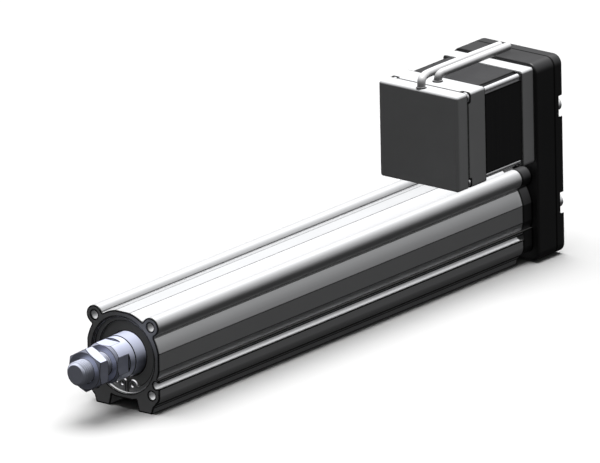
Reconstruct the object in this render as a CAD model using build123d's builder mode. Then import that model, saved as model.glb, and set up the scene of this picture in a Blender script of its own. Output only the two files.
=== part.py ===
from build123d import *
import os
from math import cos, degrees, pi, radians, sin, sqrt, tan

# Electric rod actuator: a motor on top drives a ball screw inside the body through a toothed belt.
# Millimetres. +X is the way the rod comes out, +Z is up, and the origin is the centre of the body's
# front face, on the rod's axis. Sections across the machine are drawn as (Y, Z) points.

# Travel and fits
stroke = 200.0
edge_break = 0.3
running_gap = 0.05
seat_gap = 0.05
free_gap = 0.3
end_gap = 0.5
thread_runout = 2.0
screw_tip_gap = 0.5
socket_key_share = 0.8
head_bevel_share = 0.12
end_round_share = 0.98

# Body tube: an aluminium extrusion with four screw ears, two switch grooves and two feet
ear_pitch = 40.0
ear_radius = 5.5
ear_hole_radius = 2.5
ear_hole_depth = 14.0
barrel_radius = 26.0
barrel_bore_radius = 20.0
cover_seat_radius = 22.0
web_drop = 25.2
body_drop = 31.0
valley_radius = 1.0
switch_groove_radius = 2.1
switch_groove_mouth = 3.4
switch_groove_drop = 13.5
switch_groove_inset = 2.4
groove_lip_drop = 10.0
foot_inner_y = 10.5
foot_set_in = 0.25
foot_inner_slant = 1.4
foot_outer_slant = 1.25
foot_heel_height = 4.0
keyway_width = 6.0
keyway_depth = 1.7
bore_lead = 0.4

# Holes in the feet, seen from below
foot_row_y = 15.0
foot_hole_radius = 2.5
foot_hole_depth = 8.5
foot_first_row = 25.0
foot_row_pitch = 53.0
foot_pin_radius = 2.5
foot_pin_depth = 5.0
foot_pin_slot = 6.0

# Front end of the body: snap ring, rod cover, seal, bush, bumper
ring_recess = 3.0
ring_thickness = 1.75
ring_width = 2.6
ring_groove_depth = 1.25
ring_lug_radius = 3.0
ring_lug_drop = 3.8
ring_lug_angle = 11.5
ring_lug_hole_radius = 1.2
ring_mouth = 2.4
cover_length = 45.0
cover_lip = 2.5
seal_length = 5.0
seal_depth = 3.0
seal_lip_gap = 2.0
bush_wall = 1.45
bush_length = 28.0
bush_recess = 12.0
o_ring_width = 2.4
o_ring_from_front = 24.0
bumper_stand = 2.0
bumper_thickness = 5.0
bumper_width = 4.0
rear_bumper_clearance = 4.3
rear_bumper_width = 3.0
rear_bumper_sunk = 1.0

# Rod and rod end
rod_radius = 12.5
rod_bore_radius = 8.2
rod_stub = 3.8
rod_engagement = 12.0
socket_radius = 12.2
socket_length = 14.7
socket_chamfer = 1.4
socket_flat_width = 22.0
socket_flat_start = 4.7
socket_spigot_length = 15.0
stud_radius = 7.0
stud_reach = 23.5
stud_hole_depth = 13.0
stud_root_gap = 1.0
stud_chamfer = 1.5
stud_shank_relief = 0.2
stud_free_gap = 0.3
nut_width = 22.0
nut_thickness = 8.0
nut_stand_off = 7.5
nut_face_inset = 0.3
nut_bevel_angle = 30.0

# Piston, nut and guides that travel with the rod
train_length = 35.2
piston_length = 24.0
piston_radius = 19.4
wear_ring_width = 8.0
wear_ring_depth = 1.4
wear_ring_from_front = 3.0
magnet_width = 5.0
magnet_depth = 2.4
magnet_from_front = 15.0
nut_body_radius = 14.0
nut_flange_radius = 17.5
nut_flange_thickness = 4.0
ball_nut_spigot = 9.0
key_proud = 1.5
nut_screw_circle = 15.9
nut_screw_radius = 1.0

# Ball screw and its bearings
screw_lead = 16.0
screw_radius = 6.0
screw_passage_gap = 1.5
screw_tip_chamfer = 1.0
screw_tail_chamfer = 0.5
screw_collar_radius = 8.0
screw_collar_length = 3.6
screw_tail_radius = 5.0
tip_ring_length = 6.0
tip_inset = 3.0
tip_ring_set_back = 1.5
tip_ring_depth = 1.0
screw_bearing_outer = 16.0
screw_bearing_width = 10.0
screw_ball_radius = 2.9
screw_ball_count = 9
race_shoulder_share = 0.45
cage_share = 0.3
housing_length = 38.0
housing_lip = 3.0
housing_lip_radius = 11.0
retainer_thickness = 5.0
retainer_inner_radius = 11.5
retainer_rim = 1.5
retainer_slot_depth = 2.0
lock_nut_radius = 9.5
lock_nut_thickness = 6.0
lock_nut_slot_depth = 1.2
lock_nut_overrun = 1.0
spanner_slots = 4
spanner_slot_width = 3.0

# Return box behind the body: a casting that holds the belt, closed by a plate
boss_depth = 8.0
box_depth = 16.6
plate_thickness = 7.4
box_side_margin = 1.8
box_top_margin = 1.8
box_foot_clearance = 1.0
box_corner_radius = 5.6
box_edge_radius = 1.0
box_wall = 2.5
box_floor = 3.6
shaft_hole_radius = 9.0
plate_recess = 2.6
belt_room_gap = 2.0
plate_bolt_edge = 4.0
plate_bolt_radius = 2.0
plate_bolt_head_radius = 3.6
plate_bolt_head_height = 3.6
plate_bolt_length = 12.0
plate_pocket_radius = 7.4
plate_pocket_depth = 3.7
box_bolt_radius = 3.0
box_bolt_head_radius = 5.0
box_bolt_head_height = 6.0
box_bolt_grip = 12.0

# Belt drive: equal pulleys, so the motor's and the screw's turns are one to one
belt_pitch = 5.0
pulley_teeth = 16
belt_teeth = 39
belt_width = 10.0
belt_back = 1.13
belt_land = 0.57
belt_tooth_radius = 1.25
belt_tooth_neck = 0.65
tooth_gap = 0.36
flange_rise = 1.3
flange_thickness = 1.0
pulley_side_gap = 0.2
pulley_from_floor = 1.2
set_screw_radius = 1.5
set_screw_length = 5.0

# Motor: a square stepping motor, its round parts about its own shaft
motor_width = 56.4
motor_edge_radius = 1.6
motor_front_flange_length = 11.0
motor_stator_length = 33.0
motor_rear_flange_length = 16.0
motor_cover_length = 10.0
motor_cover_wall = 3.2
motor_cover_end = 1.6
motor_pilot_radius = 19.05
motor_pilot_height = 1.6
motor_hole_pitch = 47.14
motor_screw_radius = 2.0
motor_screw_head_radius = 3.5
motor_screw_head_height = 4.0
motor_screw_grip = 5.0
motor_screw_travel = 2.0
tie_bolt_inset = 3.1
tie_bolt_radius = 1.6
tie_bolt_head_radius = 2.8
tie_bolt_head_height = 2.0
tie_bolt_grip = 4.5
tie_head_gap = 0.2
tie_pocket_radius = 3.7
stator_notch = 4.7
stator_inset = 0.2
stator_bore_radius = 15.6
rotor_air_gap = 0.3
pole_count = 8
pole_width = 5.5
slot_inner_radius = 17.6
slot_outer_radius = 23.4
slot_mouth = 2.4
coil_width = 2.4
coil_overhang = 3.4
winding_end_gap = 1.0
winding_room_radius = 24.6
rotor_teeth = 50
rotor_tooth_depth = 0.9
rotor_length = 29.0
rotor_magnet_length = 3.0
shaft_radius = 4.0
shaft_collar_step = 1.5
shaft_passage_gap = 1.0
shaft_chamfer = 0.4
motor_bearing_outer = 11.0
motor_bearing_width = 7.0
motor_ball_radius = 1.95
motor_ball_count = 7
motor_bearing_floor = 1.6

# Encoder at the motor's free end
encoder_disc_radius = 14.0
encoder_disc_thickness = 1.0
encoder_windows = 24
encoder_window_inset = 2.2
encoder_window_size = (2.0, 1.2)
encoder_hub_radius = 6.5
encoder_hub_length = 3.5
encoder_board_side = 42.0
encoder_board_thickness = 1.6
encoder_board_hole = 9.0
encoder_recess_depth = 3.0
encoder_reader_size = (6.0, 8.0)
encoder_reader_inset = 1.0
encoder_socket_size = (7.0, 12.0)
encoder_socket_height = 2.0

# Cables that leave the motor's top side by side
cable_radius = 2.37
cable_rise = 4.3
cable_bend_step = 3.11
cable_gap = 0.1
rear_cable_from_stator = 7.5
front_cable_from_end = 3.55
cable_end_from_box_rear = 4.3
collar_radius = 2.7
collar_height = 0.9
collar_bore_radius = 2.45
cable_hole_radius = 2.55
cable_root_depth = 3.2
cable_hole_overrun = 1.5

# Places along the rod's axis, from the front face back
cover_front_x = -(ring_recess + ring_thickness + seat_gap)
cover_rear_x = cover_front_x - cover_length
piston_front_x = cover_rear_x - bumper_stand - end_gap - stroke
train_rear_x = piston_front_x - train_length
housing_front_x = train_rear_x - end_gap - bumper_stand
body_rear_x = housing_front_x - housing_length
box_front_x = body_rear_x - boss_depth
box_floor_x = box_front_x - box_floor
box_rear_x = box_front_x - box_depth
plate_rear_x = box_rear_x - plate_thickness
body_length = -body_rear_x

# Places along the motor's axis
motor_front_x = box_front_x
stator_front_x = motor_front_x + motor_front_flange_length
stator_rear_x = stator_front_x + motor_stator_length
cover_seam_x = stator_rear_x + motor_rear_flange_length
motor_end_x = cover_seam_x + motor_cover_length

# Belt geometry: the distance between the shafts is what the belt's tooth count gives
pitch_radius = belt_pitch * pulley_teeth / (2 * pi)
shaft_distance = belt_pitch * (belt_teeth - pulley_teeth) / 2
half_ear = ear_pitch / 2
body_half_width = half_ear + ear_radius
motor_half = motor_width / 2
motor_top = shaft_distance + motor_half
box_width = motor_width + 2 * box_side_margin
box_top = motor_top + box_top_margin
box_drop = body_drop - box_foot_clearance
motor_corner = motor_half - tie_bolt_inset

screw_axis = Axis((0, 0, 0), (1, 0, 0))
motor_axis = Axis((0, 0, shaft_distance), (1, 0, 0))


def across(x):
    """The plane across the machine at x, whose own axes are Y and Z and whose normal is +X."""
    return Plane.YZ.offset(x)


def turning(axis):
    """The upright plane through a shaft, in which turned pieces are drawn as (X, radius)."""
    return Plane(origin=axis.position, x_dir=(1, 0, 0), z_dir=(0, -1, 0))


def band(x_a, x_b, r_a, r_b, mode=Mode.ADD):
    """A rectangle of a turned piece: from x_a to x_b along the shaft and r_a to r_b out from it."""
    with Locations(((x_a + x_b) / 2, (r_a + r_b) / 2)):
        Rectangle(abs(x_a - x_b), abs(r_b - r_a), mode=mode)


def corners(pitch, height=0.0):
    """The four corner points of a square hole pattern about a shaft at the given height."""
    half = pitch / 2
    return [(y, height + z) for y in (-half, half) for z in (-half, half)]


def save(piece, name):
    """Labels a finished piece and writes it to its own file."""
    piece.part.label = name
    export_step(piece.part, f"parts/{name}.step")


def cap_screws(centres, seat_x, tip_x, shank_radius, head_radius, head_height):
    """Socket cap screws that point towards +X, their heads bearing on seat_x from behind."""
    key_radius = shank_radius * socket_key_share
    with BuildPart() as screws:
        with BuildSketch(across(seat_x)):
            with Locations(*centres):
                Circle(head_radius)
        extrude(amount=-head_height)
        rims = screws.edges().filter_by(GeomType.CIRCLE).group_by(Axis.X)[0]
        chamfer(rims, head_radius * head_bevel_share)
        with BuildSketch(across(seat_x)):
            with Locations(*centres):
                Circle(shank_radius)
        extrude(amount=tip_x - seat_x)
        with BuildSketch(across(seat_x - head_height)):
            with Locations(*centres):
                RegularPolygon(key_radius, 6, major_radius=False)
        extrude(amount=head_height / 2, mode=Mode.SUBTRACT)
    return screws


def bearing_races(axis, places, bore, outside, width, ball_radius, inner):
    """The inner or the outer races of ball bearings whose rear faces are at the given x places."""
    pitch = (bore + outside) / 2
    shoulder = ball_radius * race_shoulder_share
    with BuildPart() as races:
        with BuildSketch(turning(axis)):
            for x in places:
                if inner:
                    band(x, x + width, bore, pitch - shoulder)
                else:
                    band(x, x + width, pitch + shoulder, outside)
                with Locations((x + width / 2, pitch)):
                    Circle(ball_radius + running_gap, mode=Mode.SUBTRACT)
        revolve(axis=axis)
    return races


def bearing_balls(axis, places, bore, outside, width, ball_radius, count):
    """The balls of ball bearings, each set held at its spacing by a thin cage ring."""
    pitch = (bore + outside) / 2
    cage_half = ball_radius * cage_share
    height = axis.position.Z
    with BuildPart() as set_of_balls:
        with BuildSketch(turning(axis)):
            for x in places:
                middle = x + width / 2
                band(middle - ball_radius, middle + ball_radius, pitch - cage_half, pitch + cage_half)
        revolve(axis=axis)
        for x in places:
            with Locations(across(x + width / 2).shift_origin((x + width / 2, 0, height))):
                with PolarLocations(pitch, count):
                    Sphere(ball_radius)
    return set_of_balls


def ears_and_barrel():
    """The body's outline above its feet: a round barrel with flats, four ears and two lower blocks."""
    Circle(barrel_radius)
    with Locations((0, (body_half_width - web_drop) / 2)):
        Rectangle(2 * body_half_width, body_half_width + web_drop, mode=Mode.INTERSECT)
    with GridLocations(ear_pitch, ear_pitch, 2, 2):
        Circle(ear_radius)
    block_width = 2 * ear_radius
    block_height = half_ear - groove_lip_drop
    for side in (-1, 1):
        with Locations((side * half_ear, -(half_ear + groove_lip_drop) / 2)):
            Rectangle(block_width, block_height)
    valleys = [
        v
        for v in vertices()
        if v.Y > groove_lip_drop
        and abs(sqrt(v.X**2 + v.Y**2) - barrel_radius) < 0.01
        and abs(sqrt((abs(v.X) - half_ear) ** 2 + (v.Y - half_ear) ** 2) - ear_radius) < 0.01
    ]
    fillet(valleys, valley_radius)


def switch_grooves():
    """The two round grooves in the body's sides that take position switches, each open to its side."""
    centre_y = body_half_width - switch_groove_inset
    for side in (-1, 1):
        with Locations((side * centre_y, -switch_groove_drop)):
            Circle(switch_groove_radius, mode=Mode.SUBTRACT)
        with Locations((side * (centre_y + ear_radius / 2), -switch_groove_drop)):
            Rectangle(ear_radius, switch_groove_mouth, mode=Mode.SUBTRACT)


# Body tube
foot_outer_y = half_ear - foot_set_in
heel_y = foot_outer_y + foot_outer_slant
cover_seat_depth = -cover_rear_x

with BuildPart() as body_tube:
    with BuildSketch(across(body_rear_x)):
        ears_and_barrel()
        with BuildLine():
            Polyline(
                (foot_inner_y, -body_drop),
                (foot_outer_y, -body_drop),
                (heel_y, foot_heel_height - body_drop),
                (heel_y + ear_radius / 3, -web_drop),
                (heel_y + ear_radius / 3, -half_ear),
                (foot_inner_y - foot_inner_slant, -half_ear),
                (foot_inner_y - foot_inner_slant, -web_drop),
                close=True,
            )
        make_face()
        mirror(about=Plane.YZ)
        insteps = [
            v for v in vertices() if abs(v.Y + web_drop) < 0.01 and abs(v.X) < foot_inner_y
        ]
        fillet(insteps, 2 * valley_radius)
        switch_grooves()
        Circle(barrel_bore_radius, mode=Mode.SUBTRACT)
        for side in (-1, 1):
            with Locations((side * barrel_bore_radius, 0)):
                Rectangle(2 * keyway_depth, keyway_width, mode=Mode.SUBTRACT)
    extrude(amount=body_length)
    with BuildSketch(across(0)):
        Circle(cover_seat_radius)
    extrude(amount=-cover_seat_depth, mode=Mode.SUBTRACT)
    with BuildSketch(across(body_rear_x)):
        Circle(cover_seat_radius)
    extrude(amount=housing_length, mode=Mode.SUBTRACT)
    with BuildSketch(turning(screw_axis)):
        groove_front = -ring_recess + seat_gap
        band(groove_front, cover_front_x, 0, cover_seat_radius + ring_groove_depth)
    revolve(axis=screw_axis, mode=Mode.SUBTRACT)
    with BuildSketch(turning(screw_axis)):
        with BuildLine():
            Polyline(
                (0, cover_seat_radius),
                (0, cover_seat_radius + bore_lead),
                (-bore_lead, cover_seat_radius),
                close=True,
            )
        make_face()
    revolve(axis=screw_axis, mode=Mode.SUBTRACT)
    with BuildSketch(across(0)):
        with GridLocations(ear_pitch, ear_pitch, 2, 2):
            Circle(ear_hole_radius)
    extrude(amount=-ear_hole_depth, mode=Mode.SUBTRACT)
    with BuildSketch(across(body_rear_x)):
        with GridLocations(ear_pitch, ear_pitch, 2, 2):
            Circle(box_bolt_radius + seat_gap)
    extrude(amount=box_bolt_grip + thread_runout, mode=Mode.SUBTRACT)
    foot_middle_x = -(foot_first_row + foot_row_pitch / 2)
    with BuildSketch(Plane.XY.offset(-body_drop)):
        with Locations((foot_middle_x, 0)):
            with GridLocations(foot_row_pitch, 2 * foot_row_y, 2, 2):
                Circle(foot_hole_radius)
    extrude(amount=foot_hole_depth, mode=Mode.SUBTRACT)
    with BuildSketch(Plane.XY.offset(-body_drop)):
        with Locations((foot_middle_x, -foot_row_y)):
            Circle(foot_pin_radius)
        with Locations((foot_middle_x, foot_row_y)):
            SlotOverall(foot_pin_slot, 2 * foot_pin_radius)
    extrude(amount=foot_pin_depth, mode=Mode.SUBTRACT)
save(body_tube, "body_tube")

# Snap ring in the body's mouth, its two lugs at the bottom
ring_inner_radius = cover_seat_radius - ring_width
ring_lug_circle = cover_seat_radius - ring_lug_drop
lug_y = ring_lug_circle * sin(radians(ring_lug_angle))
lug_z = -ring_lug_circle * cos(radians(ring_lug_angle))
lug_points = [(-lug_y, lug_z), (lug_y, lug_z)]

with BuildPart() as retaining_ring:
    with BuildSketch(across(cover_front_x + seat_gap)):
        Circle(cover_seat_radius + ring_groove_depth - seat_gap)
        Circle(ring_inner_radius, mode=Mode.SUBTRACT)
        with Locations(*lug_points):
            Circle(ring_lug_radius)
        with Locations((0, -cover_seat_radius)):
            Rectangle(ring_mouth, 4 * ring_lug_radius, mode=Mode.SUBTRACT)
        with Locations(*lug_points):
            Circle(ring_lug_hole_radius, mode=Mode.SUBTRACT)
    extrude(amount=ring_thickness)
save(retaining_ring, "retaining_ring")

# Rod cover and what sits in it
cover_radius = cover_seat_radius - seat_gap
seal_front_x = cover_front_x - cover_lip
seal_rear_x = seal_front_x - seal_length
bush_front_x = cover_front_x - bush_recess
bush_rear_x = bush_front_x - bush_length
bush_radius = rod_radius + running_gap + bush_wall
o_ring_rear_x = cover_front_x - o_ring_from_front - o_ring_width
bumper_inner_radius = rod_radius + 2 * free_gap
bumper_outer_radius = bumper_inner_radius + bumper_width

with BuildPart() as rod_cover:
    with BuildSketch(turning(screw_axis)):
        band(cover_front_x, cover_rear_x, rod_radius + free_gap, cover_radius)
        band(seal_front_x, seal_rear_x, 0, rod_radius + seal_depth, mode=Mode.SUBTRACT)
        band(bush_front_x, cover_rear_x, 0, bush_radius, mode=Mode.SUBTRACT)
        bumper_seat_x = cover_rear_x + bumper_thickness - bumper_stand
        band(bumper_seat_x, cover_rear_x, 0, bumper_outer_radius, mode=Mode.SUBTRACT)
        groove_floor = cover_radius - o_ring_width * 0.8
        band(o_ring_rear_x + o_ring_width, o_ring_rear_x, groove_floor, barrel_radius, Mode.SUBTRACT)
    revolve(axis=screw_axis)
    chamfer(rod_cover.edges().group_by(Axis.X)[-1].sort_by(SortBy.RADIUS)[-1], bore_lead)
save(rod_cover, "rod_cover")

with BuildPart() as rod_seal:
    with BuildSketch(turning(screw_axis)):
        band(seal_front_x, seal_rear_x, rod_radius + running_gap, rod_radius + seal_depth)
        lip_middle = (seal_front_x + seal_rear_x) / 2
        lip_half = seal_lip_gap / 2
        lip_radius = rod_radius + seal_depth / 3
        band(lip_middle + lip_half, lip_middle - lip_half, 0, lip_radius, mode=Mode.SUBTRACT)
    revolve(axis=screw_axis)
save(rod_seal, "rod_seal")

with BuildPart() as rod_bush:
    with BuildSketch(turning(screw_axis)):
        band(bush_front_x, bush_rear_x, rod_radius + running_gap, bush_radius - running_gap)
    revolve(axis=screw_axis)
save(rod_bush, "rod_bush")

with BuildPart() as cover_o_ring:
    with BuildSketch(turning(screw_axis)):
        with Locations((o_ring_rear_x + o_ring_width / 2, groove_floor + o_ring_width * 0.4)):
            Circle(o_ring_width * 0.4 - running_gap / 2)
    revolve(axis=screw_axis)
save(cover_o_ring, "cover_o_ring")

# Rubber bumpers that the piston meets at either end of its travel
with BuildPart() as front_bumper:
    with BuildSketch(turning(screw_axis)):
        band(bumper_seat_x, bumper_seat_x - bumper_thickness, bumper_inner_radius, bumper_outer_radius)
    revolve(axis=screw_axis)
    chamfer(front_bumper.edges().group_by(Axis.X)[0], bumper_width / 8)
save(front_bumper, "front_bumper")

rear_bumper_seat_x = housing_front_x - rear_bumper_sunk
rear_bumper_front_x = housing_front_x + bumper_stand
rear_bumper_inner = screw_collar_radius + rear_bumper_clearance
rear_bumper_outer = rear_bumper_inner + rear_bumper_width
with BuildPart() as rear_bumper:
    with BuildSketch(turning(screw_axis)):
        band(rear_bumper_seat_x, rear_bumper_front_x, rear_bumper_inner, rear_bumper_outer)
    revolve(axis=screw_axis)
    chamfer(rear_bumper.edges().group_by(Axis.X)[-1], bumper_width / 8)
save(rear_bumper, "rear_bumper")

# Rod: a steel tube that slides out of the cover, closed by a socket that holds the threaded stud
rod_rear_x = piston_front_x - rod_engagement
with BuildPart() as piston_rod:
    with BuildSketch(turning(screw_axis)):
        band(rod_stub, rod_rear_x, rod_bore_radius, rod_radius)
    revolve(axis=screw_axis)
save(piston_rod, "piston_rod")

socket_front_x = rod_stub + socket_length
stud_tip_x = socket_front_x + stud_reach
stud_root_x = socket_front_x - stud_hole_depth + stud_root_gap
with BuildPart() as rod_socket:
    with BuildSketch(turning(screw_axis)):
        band(rod_stub, socket_front_x, 0, socket_radius)
        band(rod_stub, rod_stub - socket_spigot_length, 0, rod_bore_radius - seat_gap)
    revolve(axis=screw_axis)
    chamfer(rod_socket.edges().group_by(Axis.X)[-1], socket_chamfer)
    with BuildSketch(across(rod_stub + socket_flat_start)):
        Circle(2 * socket_radius)
        Rectangle(socket_flat_width, socket_flat_width, mode=Mode.SUBTRACT)
    extrude(amount=socket_length, mode=Mode.SUBTRACT)
    with BuildSketch(across(socket_front_x)):
        Circle(stud_radius)
    extrude(amount=-stud_hole_depth, mode=Mode.SUBTRACT)
save(rod_socket, "rod_socket")

nut_rear_x = socket_front_x + nut_stand_off
nut_front_face_x = nut_rear_x + nut_thickness
with BuildPart() as rod_end_stud:
    with BuildSketch(turning(screw_axis)):
        stud_free_x = nut_front_face_x + stud_free_gap
        band(stud_tip_x, stud_free_x, 0, stud_radius)
        band(stud_free_x, stud_root_x, 0, stud_radius - stud_shank_relief)
    revolve(axis=screw_axis)
    chamfer(rod_end_stud.edges().group_by(Axis.X)[-1], stud_chamfer)
save(rod_end_stud, "rod_end_stud")

nut_corner_radius = nut_width / sqrt(3)
with BuildPart() as rod_end_nut:
    with BuildSketch(turning(screw_axis)):
        with BuildLine():
            face_radius = nut_width / 2 - nut_face_inset
            bevel = (nut_corner_radius - face_radius) * tan(radians(nut_bevel_angle))
            Polyline(
                (nut_rear_x, 0),
                (nut_rear_x, face_radius),
                (nut_rear_x + bevel, nut_corner_radius),
                (nut_front_face_x - bevel, nut_corner_radius),
                (nut_front_face_x, face_radius),
                (nut_front_face_x, 0),
                close=True,
            )
        make_face()
    revolve(axis=screw_axis)
    with BuildSketch(across(nut_rear_x)):
        RegularPolygon(nut_width / 2, 6, major_radius=False, rotation=30)
    extrude(amount=nut_thickness, mode=Mode.INTERSECT)
    with BuildSketch(across(nut_rear_x)):
        Circle(stud_radius)
    extrude(amount=nut_thickness, mode=Mode.SUBTRACT)
save(rod_end_nut, "rod_end_nut")

# Piston: joins the rod to the ball nut and carries the wear ring and the switch magnet
piston_rear_x = piston_front_x - piston_length
nut_front_x = piston_rear_x + ball_nut_spigot
screw_passage = screw_radius + screw_passage_gap
magnet_front_x = piston_front_x - magnet_from_front
wear_front_x = piston_front_x - wear_ring_from_front
nut_screw_points = [
    (nut_screw_circle * cos(radians(a)), nut_screw_circle * sin(radians(a))) for a in (45, 135, 225, 315)
]
with BuildPart() as piston:
    with BuildSketch(turning(screw_axis)):
        band(piston_front_x, piston_rear_x, screw_passage, piston_radius)
        band(piston_front_x, rod_rear_x, 0, rod_radius + seat_gap, mode=Mode.SUBTRACT)
        band(nut_front_x, piston_rear_x, 0, nut_body_radius + seat_gap, mode=Mode.SUBTRACT)
        wear_floor = piston_radius - wear_ring_depth
        band(wear_front_x, wear_front_x - wear_ring_width, wear_floor, barrel_radius, Mode.SUBTRACT)
        magnet_floor = piston_radius - magnet_depth
        band(magnet_front_x, magnet_front_x - magnet_width, magnet_floor, barrel_radius, Mode.SUBTRACT)
    revolve(axis=screw_axis)
    with BuildSketch(across(piston_rear_x)):
        with Locations(*nut_screw_points):
            Circle(nut_screw_radius + running_gap)
    extrude(amount=4 * nut_screw_radius, mode=Mode.SUBTRACT)
save(piston, "piston")

with BuildPart() as wear_ring:
    with BuildSketch(turning(screw_axis)):
        outside = barrel_bore_radius - running_gap
        band(wear_front_x, wear_front_x - wear_ring_width, wear_floor + running_gap, outside)
    revolve(axis=screw_axis)
save(wear_ring, "wear_ring")

with BuildPart() as switch_magnet:
    with BuildSketch(turning(screw_axis)):
        magnet_outside = piston_radius - 2 * running_gap
        magnet_rear_x = magnet_front_x - magnet_width
        band(magnet_front_x, magnet_rear_x, magnet_floor + running_gap, magnet_outside)
    revolve(axis=screw_axis)
save(switch_magnet, "switch_magnet")

nut_flange_rear_x = piston_rear_x - nut_flange_thickness
with BuildPart() as ball_nut:
    with BuildSketch(turning(screw_axis)):
        nut_bore_radius = screw_radius + 2 * running_gap
        band(nut_front_x, train_rear_x, nut_bore_radius, nut_body_radius)
        band(piston_rear_x, nut_flange_rear_x, nut_bore_radius, nut_flange_radius)
    revolve(axis=screw_axis)
    with BuildSketch(across(nut_flange_rear_x)):
        with Locations(*nut_screw_points):
            Circle(nut_screw_radius + running_gap)
    extrude(amount=nut_flange_thickness, mode=Mode.SUBTRACT)
save(ball_nut, "ball_nut")

with BuildPart() as nut_screws:
    with BuildSketch(across(nut_flange_rear_x)):
        with Locations(*nut_screw_points):
            Circle(nut_screw_radius)
    extrude(amount=nut_flange_thickness + 3 * nut_screw_radius)
    with BuildSketch(across(nut_flange_rear_x)):
        with Locations(*nut_screw_points):
            Circle(1.5 * nut_screw_radius)
    extrude(amount=-nut_screw_radius)
save(nut_screws, "nut_screws")

# Resin ring behind the nut's flange, with two keys that run in the body's keyways
stopper_front_x = nut_flange_rear_x - 2 * nut_screw_radius
with BuildPart() as rotation_stopper:
    with BuildSketch(across(train_rear_x)):
        Circle(piston_radius)
        key_tip = barrel_bore_radius + key_proud
        Rectangle(2 * key_tip, keyway_width - 4 * running_gap)
        Circle(nut_body_radius + seat_gap, mode=Mode.SUBTRACT)
    extrude(amount=stopper_front_x - train_rear_x)
save(rotation_stopper, "rotation_stopper")

# Ball screw and the ring that steadies its free end inside the rod
screw_tip_x = piston_front_x + stroke - tip_inset
bearing_front_x = housing_front_x - housing_lip
bearing_rear_x = bearing_front_x - 2 * screw_bearing_width
screw_collar_x = bearing_front_x + screw_collar_length
lock_nut_rear_x = bearing_rear_x - lock_nut_thickness
pulley_front_x = box_floor_x - pulley_from_floor
belt_front_x = pulley_front_x - flange_thickness - pulley_side_gap
belt_rear_x = belt_front_x - belt_width
pulley_rear_x = belt_rear_x - pulley_side_gap - flange_thickness
tip_ring_front_x = screw_tip_x - tip_ring_set_back
tip_ring_rear_x = tip_ring_front_x - tip_ring_length
tip_ring_radius = rod_bore_radius - 2 * running_gap

with BuildPart() as ball_screw:
    with BuildSketch(turning(screw_axis)):
        band(screw_tip_x, lock_nut_rear_x - lock_nut_overrun, 0, screw_radius)
        band(screw_collar_x, bearing_front_x, 0, screw_collar_radius)
        band(lock_nut_rear_x, pulley_rear_x, 0, screw_tail_radius)
        tip_ring_seat = screw_radius - tip_ring_depth
        band(tip_ring_front_x, tip_ring_rear_x, tip_ring_seat, barrel_radius, mode=Mode.SUBTRACT)
    revolve(axis=screw_axis)
    chamfer(ball_screw.edges().group_by(Axis.X)[-1], screw_tip_chamfer)
    chamfer(ball_screw.edges().group_by(Axis.X)[0], screw_tail_chamfer)
save(ball_screw, "ball_screw")

with BuildPart() as screw_tip_ring:
    with BuildSketch(turning(screw_axis)):
        band(tip_ring_front_x, tip_ring_rear_x, tip_ring_seat + running_gap, tip_ring_radius)
    revolve(axis=screw_axis)
save(screw_tip_ring, "screw_tip_ring")

# Bearing housing at the body's rear: clamped between the bore's step and the return box
with BuildPart() as bearing_housing:
    with BuildSketch(turning(screw_axis)):
        band(housing_front_x, body_rear_x, housing_lip_radius, cover_radius)
        seat_radius = screw_bearing_outer + seat_gap
        band(bearing_front_x, body_rear_x, 0, seat_radius, mode=Mode.SUBTRACT)
        bumper_ring = (rear_bumper_inner, rear_bumper_outer)
        band(housing_front_x, rear_bumper_seat_x, *bumper_ring, mode=Mode.SUBTRACT)
        retainer_radius = screw_bearing_outer + retainer_rim
        band(bearing_rear_x, body_rear_x, 0, retainer_radius + seat_gap, mode=Mode.SUBTRACT)
    revolve(axis=screw_axis)
save(bearing_housing, "bearing_housing")

screw_bearing_places = [bearing_rear_x, bearing_rear_x + screw_bearing_width]
screw_bearing = (screw_axis, screw_bearing_places, screw_radius + running_gap, screw_bearing_outer)
save(
    bearing_races(*screw_bearing, screw_bearing_width, screw_ball_radius, inner=False),
    "screw_bearing_outer_races",
)
save(
    bearing_races(*screw_bearing, screw_bearing_width, screw_ball_radius, inner=True),
    "screw_bearing_inner_races",
)
save(
    bearing_balls(*screw_bearing, screw_bearing_width, screw_ball_radius, screw_ball_count),
    "screw_bearing_balls",
)

with BuildPart() as bearing_retainer:
    with BuildSketch(across(bearing_rear_x)):
        Circle(retainer_radius)
        Circle(retainer_inner_radius, mode=Mode.SUBTRACT)
    extrude(amount=-retainer_thickness)
    with BuildSketch(across(bearing_rear_x - retainer_thickness)):
        with PolarLocations(retainer_radius, spanner_slots):
            Rectangle(2 * retainer_slot_depth, spanner_slot_width)
    extrude(amount=retainer_thickness / 2, mode=Mode.SUBTRACT)
save(bearing_retainer, "bearing_retainer")

with BuildPart() as screw_lock_nut:
    with BuildSketch(across(bearing_rear_x)):
        Circle(lock_nut_radius)
        Circle(screw_radius + running_gap, mode=Mode.SUBTRACT)
        with PolarLocations(lock_nut_radius, spanner_slots, start_angle=180 / spanner_slots):
            Rectangle(2 * lock_nut_slot_depth, spanner_slot_width, mode=Mode.SUBTRACT)
    extrude(amount=-lock_nut_thickness)
save(screw_lock_nut, "screw_lock_nut")

# Return box: boss against the body, floor that carries the motor, and a rim round the belt
box_middle = (box_top - box_drop) / 2
box_height = box_top + box_drop
bolt_rows = (0.0, shaft_distance)
plate_bolt_y = box_width / 2 - plate_bolt_edge
plate_bolt_points = [(side * plate_bolt_y, z) for side in (-1, 1) for z in bolt_rows]
column_radius = plate_bolt_edge - 2 * seat_gap
motor_screw_points = corners(motor_hole_pitch, shaft_distance)

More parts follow.
